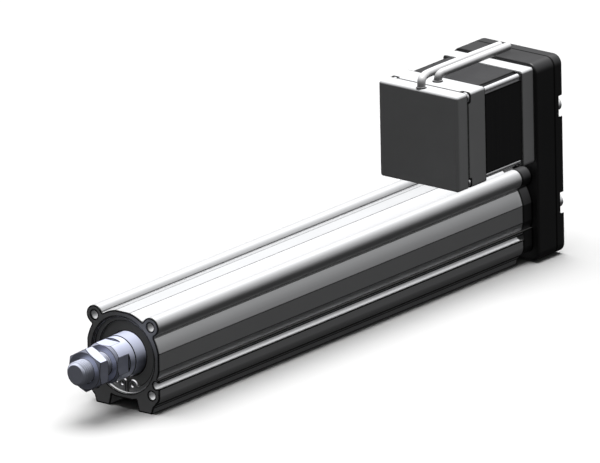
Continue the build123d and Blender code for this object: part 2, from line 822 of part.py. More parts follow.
with BuildPart() as return_box:
    with BuildSketch(across(box_rear_x)):
        with Locations((0, box_middle)):
            RectangleRounded(box_width, box_height, box_corner_radius)
    extrude(amount=box_depth)
    chamfer(return_box.edges().group_by(Axis.X)[0], edge_break)
    fillet(return_box.edges().group_by(Axis.X)[-1], box_edge_radius)
    with BuildSketch(across(box_rear_x)):
        with Locations((0, box_middle)):
            RectangleRounded(
                box_width - 2 * box_wall, box_height - 2 * box_wall, box_corner_radius - box_wall
            )
        with Locations(*plate_bolt_points):
            Circle(column_radius, mode=Mode.SUBTRACT)
    extrude(amount=box_depth - box_floor, mode=Mode.SUBTRACT)
    with BuildSketch(across(box_front_x)):
        ears_and_barrel()
    extrude(amount=boss_depth)
    with BuildSketch(across(box_floor_x)):
        Circle(shaft_hole_radius)
        with GridLocations(ear_pitch, ear_pitch, 2, 2):
            Circle(box_bolt_radius + free_gap)
    extrude(amount=box_floor + boss_depth, mode=Mode.SUBTRACT)
    with BuildSketch(across(box_floor_x)):
        with Locations((0, shaft_distance)):
            Circle(motor_pilot_radius + seat_gap)
        with Locations(*motor_screw_points):
            SlotCenterToCenter(motor_screw_travel, 2 * (motor_screw_radius + free_gap), rotation=90)
    extrude(amount=box_floor, mode=Mode.SUBTRACT)
    with BuildSketch(across(box_rear_x)):
        with Locations(*plate_bolt_points):
            Circle(plate_bolt_radius + running_gap)
    extrude(amount=plate_bolt_length, mode=Mode.SUBTRACT)
save(return_box, "return_box")

belt_room_radius = pitch_radius + belt_back + flange_rise + belt_room_gap
pocket_seat_x = plate_rear_x + plate_pocket_depth
with BuildPart() as return_plate:
    with BuildSketch(across(plate_rear_x)):
        with Locations((0, box_middle)):
            RectangleRounded(box_width, box_height, box_corner_radius)
    extrude(amount=plate_thickness)
    chamfer(return_plate.edges().group_by(Axis.X)[-1], edge_break)
    fillet(return_plate.edges().group_by(Axis.X)[0], box_edge_radius)
    with BuildSketch(across(box_rear_x)):
        with Locations((0, shaft_distance / 2)):
            SlotCenterToCenter(shaft_distance, 2 * belt_room_radius, rotation=90)
    extrude(amount=-plate_recess, mode=Mode.SUBTRACT)
    with BuildSketch(across(plate_rear_x)):
        with Locations(*plate_bolt_points):
            Circle(plate_pocket_radius)
    extrude(amount=plate_pocket_depth, mode=Mode.SUBTRACT)
    with BuildSketch(across(plate_rear_x)):
        with Locations(*plate_bolt_points):
            Circle(plate_bolt_radius + free_gap)
    extrude(amount=plate_thickness, mode=Mode.SUBTRACT)
save(return_plate, "return_plate")

plate_bolt_tip_x = pocket_seat_x + plate_bolt_length
save(
    cap_screws(
        plate_bolt_points,
        pocket_seat_x,
        plate_bolt_tip_x,
        plate_bolt_radius,
        plate_bolt_head_radius,
        plate_bolt_head_height,
    ),
    "plate_bolts",
)
save(
    cap_screws(
        corners(ear_pitch),
        box_floor_x,
        body_rear_x + box_bolt_grip,
        box_bolt_radius,
        box_bolt_head_radius,
        box_bolt_head_height,
    ),
    "box_bolts",
)
save(
    cap_screws(
        motor_screw_points,
        box_floor_x,
        motor_front_x + motor_screw_grip,
        motor_screw_radius,
        motor_screw_head_radius,
        motor_screw_head_height,
    ),
    "motor_screws",
)

# Belt and pulleys, in mesh as they stand
land_radius = pitch_radius - belt_land
tip_radius = land_radius - running_gap
tooth_centre = belt_land + belt_tooth_neck


def belt_places():
    """Each belt tooth's point on the pitch line, with the angle of the way out of the loop."""
    places = []
    quarter = pitch_radius * pi / 2
    span = shaft_distance
    for tooth in range(belt_teeth):
        s = tooth * belt_pitch - quarter
        if s < quarter:
            angle = s / pitch_radius
            y, z = sin(angle), -cos(angle)
            places.append((y * pitch_radius, z * pitch_radius, degrees(angle) - 90))
        elif s < quarter + span:
            places.append((pitch_radius, s - quarter, 0.0))
        elif s < 3 * quarter + span:
            angle = (s - quarter - span) / pitch_radius
            y, z = cos(angle), sin(angle)
            places.append((y * pitch_radius, shaft_distance + z * pitch_radius, degrees(angle)))
        else:
            places.append((-pitch_radius, shaft_distance - (s - 3 * quarter - span), 180.0))
    return places


with BuildPart() as timing_belt:
    with BuildSketch(across(belt_rear_x)):
        with Locations((0, shaft_distance / 2)):
            SlotCenterToCenter(shaft_distance, 2 * (pitch_radius + belt_back), rotation=90)
            SlotCenterToCenter(shaft_distance, 2 * land_radius, rotation=90, mode=Mode.SUBTRACT)
        for y, z, angle in belt_places():
            with Locations(Location((y, z, 0), angle)):
                with Locations((-tooth_centre, 0)):
                    Circle(belt_tooth_radius)
                with Locations((-tooth_centre / 2, 0)):
                    Rectangle(tooth_centre, 2 * belt_tooth_radius)
    extrude(amount=belt_width)
save(timing_belt, "timing_belt")


def pulley(axis, bore, first_groove, set_screw_angle):
    """A flanged pulley on a shaft: round-bottomed tooth grooves and a radial set screw hole."""
    height = axis.position.Z
    groove_radius = belt_tooth_radius + tooth_gap
    with BuildPart() as wheel:
        with BuildSketch(across(pulley_rear_x)):
            with Locations((0, height)):
                Circle(tip_radius)
                with PolarLocations(pitch_radius, pulley_teeth, start_angle=first_groove):
                    with Locations((-tooth_centre, 0)):
                        Circle(groove_radius, mode=Mode.SUBTRACT)
                    Rectangle(2 * tooth_centre, 2 * groove_radius, mode=Mode.SUBTRACT)
        extrude(amount=pulley_front_x - pulley_rear_x)
        for flange_x in (pulley_rear_x, pulley_front_x - flange_thickness):
            with BuildSketch(across(flange_x)):
                with Locations((0, height)):
                    Circle(pitch_radius + belt_back + flange_rise)
            extrude(amount=flange_thickness)
        with BuildSketch(across(pulley_rear_x)):
            with Locations((0, height)):
                Circle(bore + running_gap)
        extrude(amount=pulley_front_x - pulley_rear_x, mode=Mode.SUBTRACT)
        middle_x = (pulley_front_x + pulley_rear_x) / 2
        out = (0, cos(radians(set_screw_angle)), sin(radians(set_screw_angle)))
        with BuildSketch(Plane(origin=(middle_x, 0, height), x_dir=(1, 0, 0), z_dir=out)):
            Circle(set_screw_radius + running_gap)
        extrude(amount=pitch_radius, mode=Mode.SUBTRACT)
    return wheel


def set_screw(axis, bore, angle):
    """The grub screw that pins a pulley to its shaft."""
    middle_x = (pulley_front_x + pulley_rear_x) / 2
    out = Vector(0, cos(radians(angle)), sin(radians(angle)))
    start = Vector(middle_x, 0, axis.position.Z) + out * (bore + running_gap)
    with BuildPart() as screw:
        with BuildSketch(Plane(origin=start, x_dir=(1, 0, 0), z_dir=out)):
            Circle(set_screw_radius)
        extrude(amount=set_screw_length)
        with BuildSketch(Plane(origin=start + out * set_screw_length, x_dir=(1, 0, 0), z_dir=out)):
            RegularPolygon(set_screw_radius / 2, 6, major_radius=False)
        extrude(amount=-set_screw_length / 3, mode=Mode.SUBTRACT)
    return screw


motor_groove_angle = degrees((shaft_distance % belt_pitch) / pitch_radius)
save(pulley(screw_axis, screw_tail_radius, 0.0, 90.0), "screw_pulley")
save(pulley(motor_axis, shaft_radius, motor_groove_angle, motor_groove_angle), "motor_pulley")
save(set_screw(screw_axis, screw_tail_radius, 90.0), "screw_pulley_set_screw")
save(set_screw(motor_axis, shaft_radius, motor_groove_angle), "motor_pulley_set_screw")

# Motor: front flange, laminated stator, rear flange and end cover in a row
rear_cable_x = stator_rear_x + rear_cable_from_stator
front_cable_x = motor_end_x - front_cable_from_end
tie_points = corners(2 * motor_corner, shaft_distance)
front_bearing_x = motor_front_x + motor_bearing_floor
rear_bearing_x = cover_seam_x - encoder_recess_depth - motor_bearing_floor - motor_bearing_width
tie_head_x = cover_seam_x - tie_bolt_head_height - tie_head_gap


def motor_outline(inset=0.0):
    """The motor's square section, its long edges rounded."""
    with Locations((0, shaft_distance)):
        RectangleRounded(motor_width - 2 * inset, motor_width - 2 * inset, motor_edge_radius)


with BuildPart() as motor_front_flange:
    with BuildSketch(across(motor_front_x)):
        motor_outline()
    extrude(amount=motor_front_flange_length)
    chamfer(motor_front_flange.edges().group_by(Axis.X)[0], edge_break)
    chamfer(motor_front_flange.edges().group_by(Axis.X)[-1], edge_break)
    with BuildSketch(turning(motor_axis)):
        band(motor_front_x, motor_front_x - motor_pilot_height, 0, motor_pilot_radius)
    revolve(axis=motor_axis)
    with BuildSketch(turning(motor_axis)):
        shaft_passage = shaft_radius + shaft_passage_gap
        band(motor_front_x - motor_pilot_height, stator_front_x, 0, shaft_passage)
        band(front_bearing_x, stator_front_x, 0, motor_bearing_outer + seat_gap)
        room_x = stator_front_x - coil_overhang - winding_end_gap
        band(room_x, stator_front_x, 0, winding_room_radius)
    revolve(axis=motor_axis, mode=Mode.SUBTRACT)
    with BuildSketch(across(motor_front_x)):
        with Locations(*motor_screw_points):
            Circle(motor_screw_radius + running_gap)
    extrude(amount=motor_screw_grip + screw_tip_gap, mode=Mode.SUBTRACT)
    with BuildSketch(across(stator_front_x)):
        with Locations(*tie_points):
            Circle(tie_bolt_radius + running_gap)
    extrude(amount=-tie_bolt_grip, mode=Mode.SUBTRACT)
save(motor_front_flange, "motor_front_flange")

with BuildPart() as motor_stator:
    with BuildSketch(across(stator_front_x)):
        motor_outline(stator_inset)
        with Locations(*corners(motor_width, shaft_distance)):
            Rectangle(2 * stator_notch, 2 * stator_notch, mode=Mode.SUBTRACT)
        with Locations((0, shaft_distance)):
            Circle(stator_bore_radius, mode=Mode.SUBTRACT)
        with BuildSketch(mode=Mode.PRIVATE) as slots:
            Circle(slot_outer_radius)
            Circle(slot_inner_radius, mode=Mode.SUBTRACT)
            with PolarLocations((slot_inner_radius + slot_outer_radius) / 2, pole_count):
                Rectangle(3 * slot_outer_radius / 2, pole_width, mode=Mode.SUBTRACT)
            with PolarLocations(slot_inner_radius, pole_count, start_angle=180 / pole_count):
                Rectangle(slot_outer_radius - stator_bore_radius, slot_mouth)
        with Locations((0, shaft_distance)):
            add(slots.sketch, mode=Mode.SUBTRACT)
    extrude(amount=motor_stator_length)
save(motor_stator, "motor_stator")

coil_inner_radius = slot_inner_radius + free_gap
coil_half_width = pole_width / 2 + coil_width
coil_outer_radius = sqrt(slot_outer_radius**2 - coil_half_width**2) - free_gap
stator_middle_x = (stator_front_x + stator_rear_x) / 2
with BuildPart() as motor_windings:
    for pole in range(pole_count):
        pole_angle = radians(pole * 360 / pole_count)
        out = Vector(0, cos(pole_angle), sin(pole_angle))
        base = Vector(stator_middle_x, 0, shaft_distance) + out * coil_inner_radius
        with BuildSketch(Plane(origin=base, x_dir=(1, 0, 0), z_dir=out)):
            RectangleRounded(
                motor_stator_length + 2 * coil_overhang, pole_width + 2 * coil_width, coil_width
            )
            Rectangle(
                motor_stator_length + 2 * running_gap, pole_width + 2 * running_gap, mode=Mode.SUBTRACT
            )
        extrude(amount=coil_outer_radius - coil_inner_radius)
save(motor_windings, "motor_windings")

with BuildPart() as motor_rear_flange:
    with BuildSketch(across(stator_rear_x)):
        motor_outline()
    extrude(amount=motor_rear_flange_length)
    chamfer(motor_rear_flange.edges().group_by(Axis.X)[0], edge_break)
    chamfer(motor_rear_flange.edges().group_by(Axis.X)[-1], edge_break)
    with BuildSketch(turning(motor_axis)):
        room_x = stator_rear_x + coil_overhang + winding_end_gap
        band(stator_rear_x, room_x, 0, winding_room_radius)
        band(stator_rear_x, rear_bearing_x + motor_bearing_width, 0, motor_bearing_outer + seat_gap)
        band(stator_rear_x, cover_seam_x, 0, shaft_passage)
    revolve(axis=motor_axis, mode=Mode.SUBTRACT)
    with BuildSketch(across(cover_seam_x)):
        with Locations((0, shaft_distance)):
            board_room = encoder_board_side + 2 * end_gap
            Rectangle(board_room, board_room)
    extrude(amount=-encoder_recess_depth, mode=Mode.SUBTRACT)
    with BuildSketch(across(cover_seam_x)):
        with Locations(*tie_points):
            Circle(tie_pocket_radius)
    extrude(amount=tie_head_x - cover_seam_x, mode=Mode.SUBTRACT)
    with BuildSketch(across(stator_rear_x)):
        with Locations(*tie_points):
            Circle(tie_bolt_radius + running_gap)
    extrude(amount=motor_rear_flange_length, mode=Mode.SUBTRACT)
    with BuildSketch(Plane.XY.offset(motor_top)):
        with Locations((rear_cable_x, 0)):
            Circle(cable_hole_radius)
    wall_over_windings = motor_half - winding_room_radius
    extrude(amount=-wall_over_windings - cable_hole_overrun, mode=Mode.SUBTRACT)
save(motor_rear_flange, "motor_rear_flange")

with BuildPart() as motor_end_cover:
    with BuildSketch(across(cover_seam_x)):
        motor_outline()
    extrude(amount=motor_cover_length)
    chamfer(motor_end_cover.edges().group_by(Axis.X)[0], edge_break)
    fillet(motor_end_cover.edges().group_by(Axis.X)[-1], motor_edge_radius * end_round_share)
    with BuildSketch(across(cover_seam_x)):
        with Locations((0, shaft_distance)):
            cover_room = motor_width - 2 * motor_cover_wall
            RectangleRounded(cover_room, cover_room, motor_edge_radius)
    extrude(amount=motor_cover_length - motor_cover_end, mode=Mode.SUBTRACT)
    with BuildSketch(Plane.XY.offset(motor_top)):
        with Locations((front_cable_x, 0)):
            Circle(cable_hole_radius)
    extrude(amount=-motor_cover_wall - cable_hole_overrun, mode=Mode.SUBTRACT)
save(motor_end_cover, "motor_end_cover")

with BuildPart() as motor_tie_bolts:
    with BuildSketch(across(tie_head_x)):
        with Locations(*tie_points):
            Circle(tie_bolt_radius)
    extrude(amount=stator_front_x - tie_bolt_grip + free_gap - tie_head_x)
    with BuildSketch(across(tie_head_x)):
        with Locations(*tie_points):
            Circle(tie_bolt_head_radius)
    extrude(amount=tie_bolt_head_height)
save(motor_tie_bolts, "motor_tie_bolts")

# Rotor: two toothed cups with a magnet between them, on the motor's shaft
rotor_radius = stator_bore_radius - rotor_air_gap
rotor_front_x = stator_middle_x - rotor_length / 2
rotor_rear_x = stator_middle_x + rotor_length / 2
shaft_end_x = motor_end_x - motor_cover_end - 4 * free_gap
disc_front_x = cover_seam_x + 4 * free_gap

with BuildPart() as motor_shaft:
    with BuildSketch(turning(motor_axis)):
        band(pulley_rear_x, shaft_end_x, 0, shaft_radius)
        collar = shaft_radius + shaft_collar_step
        band(front_bearing_x + motor_bearing_width, rotor_front_x, 0, collar)
        band(rotor_rear_x, rear_bearing_x, 0, collar)
    revolve(axis=motor_axis)
    chamfer(motor_shaft.edges().group_by(Axis.X)[0], shaft_chamfer)
save(motor_shaft, "motor_shaft")

cup_length = (rotor_length - rotor_magnet_length) / 2
with BuildPart() as rotor_cups:
    with BuildSketch(across(rotor_front_x)):
        with Locations((0, shaft_distance)):
            Circle(rotor_radius)
            Circle(shaft_radius + running_gap, mode=Mode.SUBTRACT)
            tooth_gap_width = pi * rotor_radius / rotor_teeth
            with PolarLocations(rotor_radius, rotor_teeth):
                Rectangle(2 * rotor_tooth_depth, tooth_gap_width, mode=Mode.SUBTRACT)
    extrude(amount=cup_length)
    with BuildSketch(across(rotor_rear_x)):
        with Locations((0, shaft_distance)):
            Circle(rotor_radius)
            Circle(shaft_radius + running_gap, mode=Mode.SUBTRACT)
            with PolarLocations(rotor_radius, rotor_teeth, start_angle=180 / rotor_teeth):
                Rectangle(2 * rotor_tooth_depth, tooth_gap_width, mode=Mode.SUBTRACT)
    extrude(amount=-cup_length)
save(rotor_cups, "rotor_cups")

with BuildPart() as rotor_magnet:
    with BuildSketch(turning(motor_axis)):
        magnet_bore = shaft_radius + running_gap
        magnet_outer = rotor_radius - 2 * rotor_tooth_depth
        band(rotor_front_x + cup_length, rotor_rear_x - cup_length, magnet_bore, magnet_outer)
    revolve(axis=motor_axis)
save(rotor_magnet, "rotor_magnet")

motor_bearing_places = [front_bearing_x, rear_bearing_x]
motor_bearing = (motor_axis, motor_bearing_places, shaft_radius + running_gap, motor_bearing_outer)
save(
    bearing_races(*motor_bearing, motor_bearing_width, motor_ball_radius, inner=False),
    "motor_bearing_outer_races",
)
save(
    bearing_races(*motor_bearing, motor_bearing_width, motor_ball_radius, inner=True),
    "motor_bearing_inner_races",
)
save(
    bearing_balls(*motor_bearing, motor_bearing_width, motor_ball_radius, motor_ball_count),
    "motor_bearing_balls",
)

# Encoder: a slotted disc on the shaft, read by a block on the board
with BuildPart() as encoder_disc:
    with BuildSketch(turning(motor_axis)):
        band(disc_front_x, disc_front_x + encoder_disc_thickness, 0, encoder_disc_radius)
        hub_end_x = disc_front_x + encoder_hub_length
        band(disc_front_x, hub_end_x, 0, encoder_hub_radius)
        band(disc_front_x, hub_end_x, 0, shaft_radius + running_gap, mode=Mode.SUBTRACT)
    revolve(axis=motor_axis)
    with BuildSketch(across(disc_front_x)):
        with Locations((0, shaft_distance)):
            with PolarLocations(encoder_disc_radius - encoder_window_inset, encoder_windows):
                Rectangle(*encoder_window_size)
    extrude(amount=encoder_disc_thickness, mode=Mode.SUBTRACT)
save(encoder_disc, "encoder_disc")

board_rear_x = cover_seam_x - encoder_recess_depth
with BuildPart() as encoder_board:
    with BuildSketch(across(board_rear_x)):
        with Locations((0, shaft_distance)):
            Rectangle(encoder_board_side, encoder_board_side)
            Circle(encoder_board_hole, mode=Mode.SUBTRACT)
    extrude(amount=encoder_board_thickness)
    board_front_x = board_rear_x + encoder_board_thickness
    with BuildSketch(across(board_front_x)):
        with Locations((encoder_disc_radius - encoder_reader_inset, shaft_distance)):
            Rectangle(*encoder_reader_size)
    extrude(amount=disc_front_x - free_gap - board_front_x)
    with BuildSketch(across(board_front_x)):
        with Locations((-encoder_board_side / 3, shaft_distance + encoder_board_side / 5)):
            Rectangle(*encoder_socket_size)
    extrude(amount=encoder_socket_height)
save(encoder_board, "encoder_board")

# Cables: round leads that rise from the motor's top and run back over the return box
with BuildPart() as cable_collars:
    with BuildSketch(Plane.XY.offset(motor_top)):
        with Locations((front_cable_x, 0), (rear_cable_x, 0)):
            Circle(collar_radius)
            Circle(collar_bore_radius, mode=Mode.SUBTRACT)
    extrude(amount=collar_height)
save(cable_collars, "cable_collars")

cable_run_z = motor_top + cable_rise
cable_bend_z = cable_run_z - cable_bend_step
cable_end_x = box_rear_x + cable_end_from_box_rear
near_y = 0.57
far_y = near_y - 2 * cable_radius - cable_gap
rear_cable_route = [
    (rear_cable_x, 0, motor_top - cable_root_depth),
    (rear_cable_x, 0, cable_bend_z),
    (rear_cable_x - cable_bend_step, near_y, cable_run_z),
    (cable_end_x, near_y, cable_run_z),
]
front_cable_route = [
    (front_cable_x, 0, motor_top - cable_root_depth),
    (front_cable_x, 0, cable_bend_z + 1.0),
    (front_cable_x - 2.7, -1.1, cable_run_z + 1.0),
    (rear_cable_x + 2.6, far_y, cable_run_z + 1.1),
    (cable_end_x + 1.5, far_y, cable_run_z),
]


def cable_radii(route):
    """The largest bend that each corner of a route has room for, within its shorter run."""
    points = [Vector(p) for p in route]
    radii = []
    for a, b, c in zip(points, points[1:], points[2:]):
        turn = radians((b - a).get_angle(c - b))
        radii.append(0.45 * min((b - a).length, (c - b).length) / tan(turn / 2))
    return radii


def cable(route, name):
    """A round cable along a route of straight runs joined by arcs."""
    radii = cable_radii(route)
    with BuildPart() as lead:
        with BuildLine():
            path = FilletPolyline(*route, radius=radii)
        with BuildSketch(Plane(origin=path @ 0, z_dir=path % 0)):
            Circle(cable_radius)
        sweep(path=path)
    section_volume = pi * cable_radius**2 * path.length
    print(name, "length", round(path.length, 1), "bend radii", [round(r, 1) for r in radii])
    print(name, "volume share of section times length", round(lead.part.volume / section_volume, 4))
    return lead


save(cable(rear_cable_route, "motor_cable"), "motor_cable")
save(cable(front_cable_route, "encoder_cable"), "encoder_cable")

print("body length", body_length, "shaft distance", shaft_distance)
print("motor end", motor_end_x, "turns for the stroke", stroke / screw_lead)
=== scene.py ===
# %% [markdown]
# # An electric rod actuator
#
# The real object is a machine part: an extruded aluminium body with a steel rod that slides out of its
# front, and a square motor on top that drives a ball screw through a toothed belt in the black box at
# the rear. The solids are already in the frame that is loaded here. This notebook gives them their
# finishes, makes the few pieces that need finer shapes, and sets up the floor, the lights and the camera.

from math import cos, pi, radians, sin

import bmesh
import bpy
from mathutils import Matrix, Vector


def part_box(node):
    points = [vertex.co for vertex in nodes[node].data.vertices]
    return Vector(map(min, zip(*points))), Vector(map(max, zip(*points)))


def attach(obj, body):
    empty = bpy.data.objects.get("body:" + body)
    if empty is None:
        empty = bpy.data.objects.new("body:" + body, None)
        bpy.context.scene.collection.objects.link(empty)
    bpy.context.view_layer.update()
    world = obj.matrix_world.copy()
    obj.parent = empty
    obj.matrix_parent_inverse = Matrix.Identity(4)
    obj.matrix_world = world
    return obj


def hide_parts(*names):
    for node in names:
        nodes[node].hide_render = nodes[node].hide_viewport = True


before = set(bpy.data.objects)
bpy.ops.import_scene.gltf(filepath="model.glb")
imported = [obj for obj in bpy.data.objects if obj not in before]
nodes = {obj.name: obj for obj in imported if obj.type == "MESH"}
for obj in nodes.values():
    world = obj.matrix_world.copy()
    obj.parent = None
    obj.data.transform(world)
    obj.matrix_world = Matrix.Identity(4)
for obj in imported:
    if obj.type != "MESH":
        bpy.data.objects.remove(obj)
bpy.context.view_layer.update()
mm = 0.001


def shown(values, digits=4):
    """Numbers rounded for printing."""
    return [round(value, digits) for value in values]


# %% [markdown]
# ## Camera
#
# The picture to match is a parallel view. A very long lens from far away is nearly parallel, and unlike
# a parallel camera it can be moved round the object without changing how much it takes in. The camera
# looks along its own -Z axis, so its three axes are worked out from the compass angle, the height
# angle and the small roll, and put into one matrix.

# %% Long-lens camera
view_azimuth = radians(129.0251)
view_elevation = radians(18.0390)
view_roll = radians(1.1677)
aim = Vector((-0.15917, -0.0006, 0.02983))
eye_distance = 12.4302

back = Vector(
    (
        sin(view_azimuth) * cos(view_elevation),
        -cos(view_azimuth) * cos(view_elevation),
        sin(view_elevation),
    )
)
level_right = Vector((cos(view_azimuth), sin(view_azimuth), 0.0))
level_up = back.cross(level_right)
right = level_right * cos(view_roll) - level_up * sin(view_roll)
up = level_right * sin(view_roll) + level_up * cos(view_roll)

camera_data = bpy.data.cameras.new("long_lens")
camera_data.lens = 1330.0
camera_data.sensor_width = 36.0
camera_data.clip_start = 1.0
camera_data.clip_end = 60.0
camera = bpy.data.objects.new("camera", camera_data)
bpy.context.scene.collection.objects.link(camera)
turn = Matrix((right, up, back)).transposed().to_4x4()
camera.matrix_world = Matrix.Translation(aim + back * eye_distance) @ turn
bpy.context.scene.camera = camera
print("camera at", shown(camera.matrix_world.translation, 3))

# %% [markdown]
# ## Cables
#
# Two round cables leave the motor's top side by side, bend over at once and run back across the return
# box, where they end in a plain cut. A cable is stiff enough to take one smooth line, so each is a single
# NURBS spline whose control points are the corners of its route. The order has to be set after the points
# are there: a spline with only one point falls back to order 2, which draws straight runs. The tube's
# radius is the bevel depth times the radius of each point. Blender takes the box round a curve from its
# points and their radii, so the points carry the cable's radius and the bevel depth is 1. The spline cuts
# inside the corners of its route, so the cable is a little shorter than the runs added up.

# %% Cable routes and curves
motor_top = 85.7 * mm
cable_radius = 2.37 * mm
cable_run_z = motor_top + 4.3 * mm
cable_root_z = motor_top - 3.2 * mm
rear_cable_x = -284.5 * mm
front_cable_x = -269.55 * mm
cable_end_x = -348.3 * mm
near_y = 0.57 * mm
far_y = near_y - 2 * cable_radius - 0.1 * mm

cable_routes = {
    "motor_cable": [
        (rear_cable_x, 0.0, cable_root_z),
        (rear_cable_x, 0.0, cable_run_z - 2.3 * mm),
        (rear_cable_x - 2.1 * mm, 0.3 * mm, cable_run_z - 0.1 * mm),
        (rear_cable_x - 6.0 * mm, near_y, cable_run_z + 0.1 * mm),
        (cable_end_x, near_y, cable_run_z),
    ],
    "encoder_cable": [
        (front_cable_x, 0.0, cable_root_z),
        (front_cable_x, 0.0, cable_run_z - 1.4 * mm),
        (front_cable_x - 2.35 * mm, -1.1 * mm, cable_run_z + 1.0 * mm),
        (rear_cable_x + 2.6 * mm, far_y, cable_run_z + 1.0 * mm),
        (cable_end_x + 1.5 * mm, far_y, cable_run_z),
    ],
}


def cable_curve(name, route, radius):
    """A round cable as one smooth spline, with its route's corners as control points."""
    curve = bpy.data.curves.new(name, "CURVE")
    curve.dimensions = "3D"
    curve.bevel_depth = 1.0
    curve.bevel_resolution = 8
    curve.use_fill_caps = True
    spline = curve.splines.new("NURBS")
    spline.points.add(len(route) - 1)
    for point, place in zip(spline.points, route):
        point.co = (*place, 1.0)
        point.radius = radius
    spline.order_u = 3
    spline.use_endpoint_u = True
    spline.resolution_u = 24
    made = bpy.data.objects.new(name, curve)
    bpy.context.scene.collection.objects.link(made)
    return made


def run_length(route):
    """The summed length of a route's straight runs."""
    return sum((Vector(b) - Vector(a)).length for a, b in zip(route, route[1:]))


cables = {}
for name, route in cable_routes.items():
    cable = cable_curve(name + "_line", route, cable_radius)
    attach(cable, "housing")
    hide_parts(name)
    cables[name] = cable
    print(name, "runs add up to", round(run_length(route) / mm, 1), "mm")

# %% [markdown]
# ## A way to write finishes
#
# A finish is a small shader graph. Wiring such a graph by hand is long, so two helpers keep it short.
# `Signal` wraps one output socket and turns Python arithmetic into Math nodes, so `0.3 + 0.1 * grain`
# builds the two nodes it says. `Finish` makes the material, adds any other node by its type, settings and
# inputs, and ends in a Principled shader. Values that stay the same all over go straight onto the shader.
#
# The picture has a thin dark line along every edge. `edges` finds them: the Bevel node looks a short way
# round each point and gives the average direction of the surface there. On a flat or a gentle curve that
# is the surface's own direction, and near an edge it isn't, so the difference between the two is a line.
# The Bevel node takes a few samples and is noisy, so a small difference is taken off before it counts.


# %% Shader helpers
class Signal:
    """One number that flows between shader nodes."""

    def __init__(self, finish, socket):
        self.finish = finish
        self.socket = socket

    def math(self, operation, *others):
        """A Math node with this signal first, then the others, which are signals or numbers."""
        node = self.finish.tree.nodes.new("ShaderNodeMath")
        node.operation = operation
        for place, value in enumerate((self, *others)):
            self.finish.feed(node.inputs[place], value)
        return Signal(self.finish, node.outputs[0])

    def __add__(self, other):
        return self.math("ADD", other)

    __radd__ = __add__

    def __mul__(self, other):
        return self.math("MULTIPLY", other)

    __rmul__ = __mul__

    def __sub__(self, other):
        return self.math("SUBTRACT", other)

    def __rsub__(self, other):
        return (self * -1.0) + other

    def __pow__(self, other):
        return self.math("POWER", other)

    def clamped(self):
        """The same signal kept between 0 and 1."""
        return self.math("MINIMUM", 1.0).math("MAXIMUM", 0.0)


bevel_samples = 16
noise_floor = 0.3
line_grey = (0.02, 0.02, 0.02)
line_black = (0.002, 0.002, 0.002)


